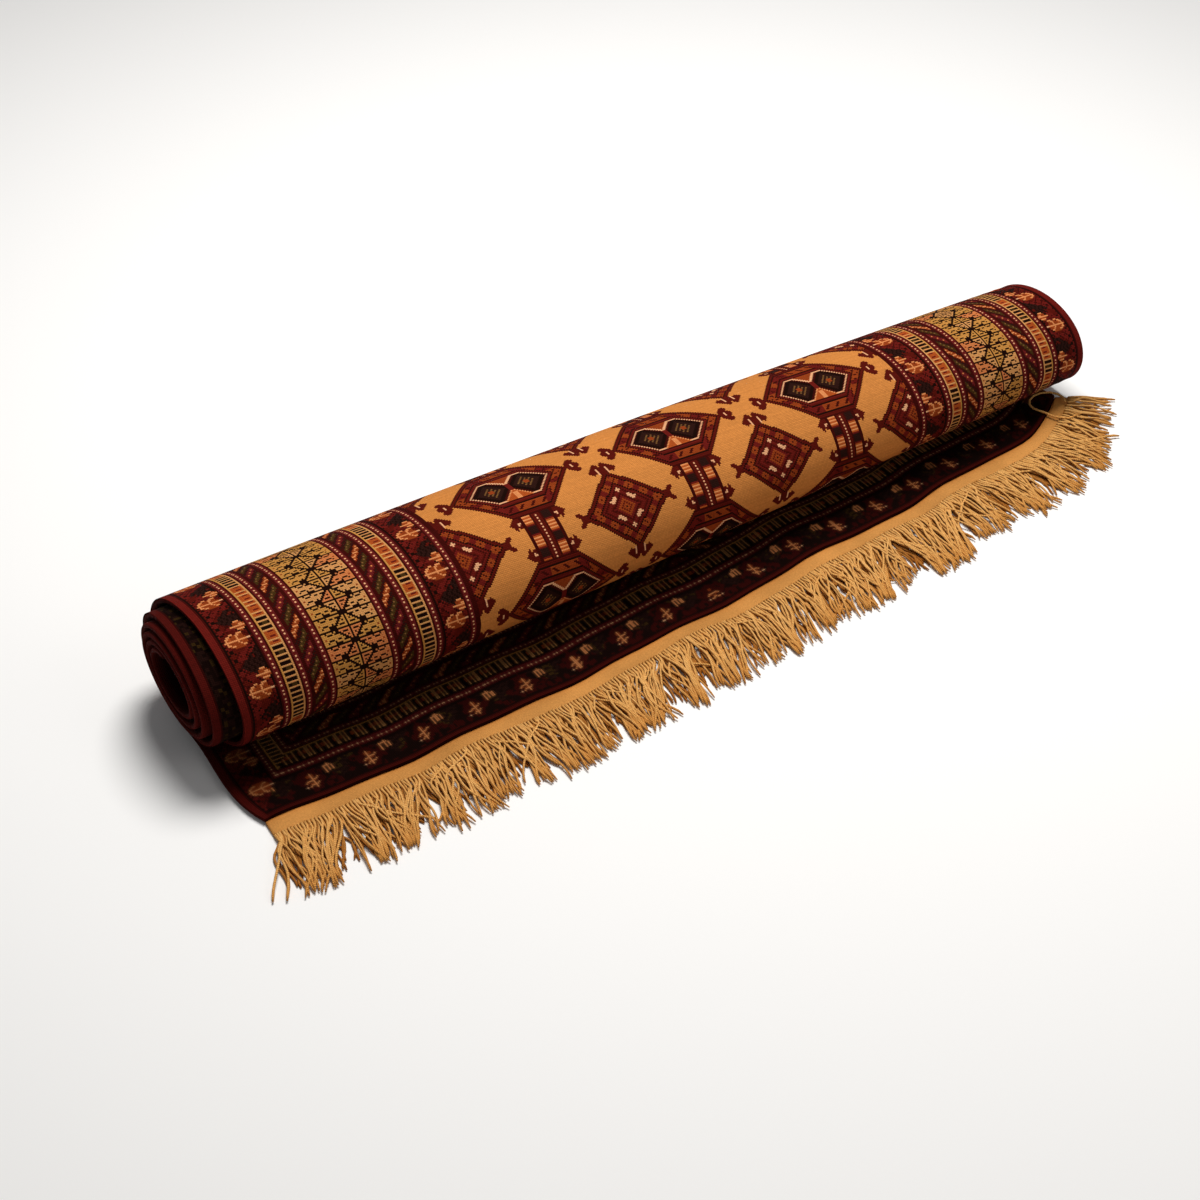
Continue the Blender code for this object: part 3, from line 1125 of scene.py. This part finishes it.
STRAY_LENGTH = FRINGE_LENGTH * 0.85
STRAY_WILDNESS = 2.2
TOP_LAYER = 2
LOOP_ACROSS = 1.178
GAPS = (0.075, 0.17, 0.205, 0.375, 0.585, 0.675, 0.765, 0.825, 0.965, 1.055)    # partings
PARTING_PUSH = 0.0075            # how far a parting pushes the tips beside it
PARTING_REACH = 0.014
LEANS = (                    # how far the tips lie aside, as a share of the length
    # across  lean
    (0.00, -0.12),
    (0.10, -0.26),
    (0.20, -0.12),
    (0.30, -0.02),
    (0.45, -0.22),
    (0.65, -0.26),
    (0.85, -0.22),
    (1.05, -0.10),
    (1.20, 0.05),
)


def parting_push(across):
    """How far a strand's tip is pushed aside by the partings near it."""
    push = 0.0
    for gap in GAPS:
        away = across - gap
        push += math.copysign(PARTING_PUSH, away) * math.exp(-(away / PARTING_REACH) ** 2)
    return push


def one_strand(rng, across, clump_centre, lean, length, wildness, layer):
    """The path of one warp end, lying in loose waves on the strands below it."""
    share = np.linspace(0.0, 1.0, STRAND_STEPS)
    way = np.array(fringe_direction(across))
    side = np.array([-way[1], way[0]])
    root = np.array(pile_edge(across))
    root = root + way * (FRINGE_ROOT + band_waver(across) + rng.uniform(0.0, 0.0012))
    out = share * length
    wave = rng.uniform(*WAVES) * wildness
    wave = wave * np.sin(rng.uniform(0.0, 6.28) + share * rng.uniform(*WAVE_TURNS))
    spread = rng.normal(0.0, 0.0011) * smooth_step(share, 0.04, 0.3)
    hook = rng.normal(0.0, 0.0045) * wildness * smooth_step(share, 0.5, 1.0)
    hook = hook + parting_push(across) * smooth_step(share, 0.25, 1.0)
    gather = (clump_centre - across) * GATHERED[layer] * smooth_step(share, 0.05, 0.9)
    settle = smooth_step(share, 0.02, 0.35)
    sideways = lean * out * settle + gather + spread + (wave - wave[0]) * settle + hook
    flat = root[None] + way[None] * out[:, None] + side[None] * sideways[:, None]
    start = ROOT_HEIGHT + loose_value(LIFT, across)
    rest = RESTS[layer] + rng.uniform(-0.0003, 0.0012)
    hump = HUMPS[layer] * rng.uniform(0.3, 1.2) * np.sin(share * math.pi)
    height = start + (rest - start) * smooth_step(share, 0.0, 0.35) + hump
    return np.column_stack([flat, height * (1.0 - TIP_DROPS[layer] * share ** 2.5)])


def fringe_paths(rng):
    """The warp ends, rooted at even knots and falling into clumps with partings between."""
    random_gaps = rng.uniform(0.0, RUG_WIDTH, CLUMPS - len(GAPS))
    edges = np.concatenate([[0.0], np.sort(np.concatenate([GAPS, random_gaps])), [RUG_WIDTH]])
    middles = 0.5 * (edges[:-1] + edges[1:])
    clump_lean = rng.normal(0.0, 0.13, CLUMPS + 1)
    clump_length = rng.uniform(0.90, 1.05, CLUMPS + 1)
    paths = []
    for number in range(FRINGE_KNOTS):
        root_across = RUG_WIDTH * (number + 0.5) / FRINGE_KNOTS
        for strand in range(STRANDS_PER_KNOT):
            across = root_across + rng.normal(0.0, 0.00025)
            across = float(np.clip(across, ROOT_MARGIN, RUG_WIDTH - ROOT_MARGIN))
            clump = int(np.searchsorted(edges[1:-1], across + rng.normal(0.0, 0.0025)))
            corner = smooth_step(loose_value(SPLAY_DEG, across), 10.0, 50.0)
            lean = np.interp(across, [row[0] for row in LEANS], [row[1] for row in LEANS])
            layer = STRAND_LAYERS[strand]
            lean = lean + clump_lean[clump] * SWAYED[layer] + rng.normal(0.0, 0.06)
            length = STRAND_LENGTH * clump_length[clump] * rng.uniform(0.88, 1.04)
            length *= (1.0 - 0.30 * corner) * (rng.uniform(0.58, 0.86), 1.0, 1.0)[layer]
            path = one_strand(rng, across, middles[clump], lean, length, 1.0, layer)
            paths.append((path, LAYER_PAINTED_SHADES[layer]))
    for _ in range(STRAYS):
        across = rng.uniform(0.09, RUG_WIDTH - 0.06)
        lean = rng.normal(-0.1, 0.40)
        path = one_strand(rng, across, across, lean, STRAY_LENGTH, STRAY_WILDNESS, TOP_LAYER)
        paths.append((path, 1.0))
    paths.sort(key=lambda pair: pair[0][0, 0])
    return paths


def loose_loop():
    """One long warp end that has sprung back over the pile at the +X corner."""
    turn = np.linspace(0.0, 1.0, STRAND_STEPS)
    edge_x, edge_y = pile_edge(LOOP_ACROSS)
    angle = math.radians(-25.0) + turn * math.radians(325.0)
    radius = 0.019 + 0.004 * np.sin(turn * 5.0) + 0.024 * smooth_step(turn, 0.72, 1.0)
    x = edge_x + radius * np.cos(angle) * 1.30
    y = edge_y + 0.004 + radius * np.sin(angle)
    z = 0.0125 + 0.003 * np.sin(turn * math.pi) - 0.004 * smooth_step(turn, 0.7, 1.0)
    return np.column_stack([x, y, z])


def fringe(material):
    """All the strands as closed tubes, in two pieces: the half towards -X and the other."""
    rng = np.random.default_rng(FRINGE_SEED)
    paths = fringe_paths(rng)
    paths.append((loose_loop(), 1.0))
    share = np.linspace(0.0, 1.0, STRAND_STEPS)
    step, side = np.meshgrid(np.arange(STRAND_STEPS - 1), np.arange(STRAND_SIDES), indexing="ij")
    after = (side + 1) % STRAND_SIDES
    tube_faces = np.stack([step * STRAND_SIDES + side, step * STRAND_SIDES + after,
                           (step + 1) * STRAND_SIDES + after, (step + 1) * STRAND_SIDES + side], -1)
    last = (STRAND_STEPS - 1) * STRAND_SIDES
    caps = np.array([(3, 2, 1, 0), (5, 4, 3, 0), (last, last + 1, last + 2, last + 3),
                     (last, last + 3, last + 4, last + 5)])
    tube_faces = np.concatenate([tube_faces.reshape(-1, 4), caps])
    per_strand = STRAND_STEPS * STRAND_SIDES
    pieces = []
    half = len(paths) // 2
    for name, group in (("fringe_near", paths[:half]), ("fringe_far", paths[half:])):
        points, uvs, shades = [], [], []
        for number, (path, layer_painted_shade) in enumerate(group):
            radius = STRAND_RADIUS * rng.uniform(0.85, 1.15) * (1.0 + 0.12 * share ** 6)
            radius = radius + 0.0003 * np.exp(-((share - 0.04) / 0.035) ** 2)
            radius[-1] = radius[-1] * 0.55
            handled = rng.uniform(0.0, 1.0)
            yarn = linear(YARN_COLOUR) * (1.0 - handled + HANDLED_SHADE * handled)
            # painted shade: the lower layers are drawn darker and warmer, for the shadow among the
            # strands
            yarn = yarn * np.array((layer_painted_shade, layer_painted_shade ** 1.5, layer_painted_shade ** 2.2))
            fade = smooth_step(share, 0.55, 1.0)[:, None]
            tone = yarn * (1.0 - fade + fade * TIP_SHADE)
            shades.append(np.repeat(tone, STRAND_SIDES, axis=0))
            points.append(strand_tube(path, radius).reshape(-1, 3))
            turn = np.tile(np.arange(STRAND_SIDES) * 0.0009, STRAND_STEPS)
            run = np.repeat(share * FRINGE_LENGTH, STRAND_SIDES)
            uvs.append(np.stack([turn + run * 0.8 + number * 0.013, run + number * 0.0071], 1))
        points = np.concatenate(points)
        points[:, 2] = np.maximum(points[:, 2], 0.0002)
        offsets = per_strand * np.arange(len(group))[:, None, None]
        faces = (tube_faces[None] + offsets).reshape(-1, 4)
        mesh, used, faces = mesh_from(name, points, faces)
        uvs = np.concatenate(uvs)[used]
        set_uv(mesh, "rug", uvs[faces].reshape(-1, 2))
        shades = np.concatenate(shades)[used][faces].reshape(-1, 3)
        set_knot_colours(mesh, shades)
        pieces.append(make_object(name, mesh, material))
    return pieces


def strand_tube(path, radius):
    """Rings of points round a path."""
    ways = np.gradient(path, axis=0)
    ways /= np.linalg.norm(ways, axis=1, keepdims=True)
    side = np.cross(ways, (0.0, 0.0, 1.0))
    side /= np.linalg.norm(side, axis=1, keepdims=True) + 1e-9
    up = np.cross(side, ways)
    angles = np.linspace(0.0, 2.0 * math.pi, STRAND_SIDES, endpoint=False)
    ring = (side[:, None] * np.cos(angles)[None, :, None]
            + up[:, None] * np.sin(angles)[None, :, None])
    return path[:, None] + ring * radius[:, None, None]


# ---------------- stage

FLOOR_SIZE = 14.0
FLOOR_Z = -0.0006            # just below the rug, so that the two never share a plane
FLOOR_GREY = 0.88
WORLD_STRENGTH = 0.18
CAMERA_AZIMUTH = -34.07      # degrees from straight in front of the loose end
CAMERA_ELEVATION = 40.85
CAMERA_DISTANCE = 2.4275
CAMERA_TARGET = (-0.0894, 0.0, -0.0712)
CAMERA_LENS = 60.1
SENSOR_WIDTH = 36.0


def area_light(name, place, target, size, power, colour):
    light = bpy.data.lights.new(name, "AREA")
    light.shape = "DISK"
    light.size = size
    light.energy = power
    light.color = colour
    lamp = bpy.data.objects.new(name, light)
    lamp.location = place
    lamp.rotation_euler = (Vector(target) - Vector(place)).to_track_quat("-Z", "Y").to_euler()
    bpy.context.scene.collection.objects.link(lamp)


def stage_and_camera():
    bpy.ops.mesh.primitive_plane_add(size=FLOOR_SIZE, location=(0.0, 0.0, FLOOR_Z))
    floor = bpy.context.active_object
    floor.name = "floor"
    material, _, shader = new_material("pale_floor", 0.9)
    shader.inputs["Base Color"].default_value = (FLOOR_GREY, FLOOR_GREY, FLOOR_GREY, 1.0)
    floor.data.materials.append(material)

    world = bpy.data.worlds.new("studio")
    world.use_nodes = True
    sky = world.node_tree.nodes["Background"]
    sky.inputs["Color"].default_value = (1.0, 1.0, 1.0, 1.0)
    sky.inputs["Strength"].default_value = WORLD_STRENGTH
    bpy.context.scene.world = world
    bpy.context.scene.view_settings.view_transform = "Standard"

    area_light("key", (0.35, 0.45, 2.5), (0.0, 0.0, 0.0), 1.3, 78.0, (1.0, 0.98, 0.95))
    area_light("fill", (0.9, -2.2, 1.9), (0.0, -0.1, 0.0), 1.6, 7.0, (1.0, 0.97, 0.93))

    camera_data = bpy.data.cameras.new("camera")
    camera_data.lens = CAMERA_LENS
    camera_data.sensor_width = SENSOR_WIDTH
    camera = bpy.data.objects.new("camera", camera_data)
    bpy.context.scene.collection.objects.link(camera)
    azimuth = math.radians(CAMERA_AZIMUTH)
    elevation = math.radians(CAMERA_ELEVATION)
    back = Vector((math.sin(azimuth) * math.cos(elevation),
                   -math.cos(azimuth) * math.cos(elevation), math.sin(elevation)))
    camera.location = Vector(CAMERA_TARGET) + back * CAMERA_DISTANCE
    camera.rotation_euler = (-back).to_track_quat("-Z", "Y").to_euler()
    bpy.context.scene.camera = camera


# ---------------- assembly

def main():
    stage_and_camera()
    back_wool = knotted_material("wool_back", 1.0, 0.62, 0.5, 0.10)
    # painted shade: the second turn's wool is drawn at 0.55 brightness for the outer turn's shadow
    inner_wool_painted_shade = knotted_material("wool_inner_painted_shade", 0.55, 0.62, 0.5, 0.15)
    pile_wool = knotted_material("wool_pile", 0.50, 0.50, 0.9, 0.25)
    plain_wool = knotted_material("wool_edge", 0.62, 0.60, 0.9, 0.40)
    weave = cotton_material("cotton_weave", 0.0013)
    strands = cotton_material("cotton_fringe", 0.0018)

    cloth = wound_cloth(plain_wool)
    skins = back_skins(back_wool)
    skins.append(inner_skin(inner_wool_painted_shade))
    pile = pile_skin(pile_wool)
    band = flat_weave(weave)
    ends = fringe(strands)

    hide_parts("rug_roll", "loose_end")
    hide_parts("flatweave_end")
    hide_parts("fringe")


main()
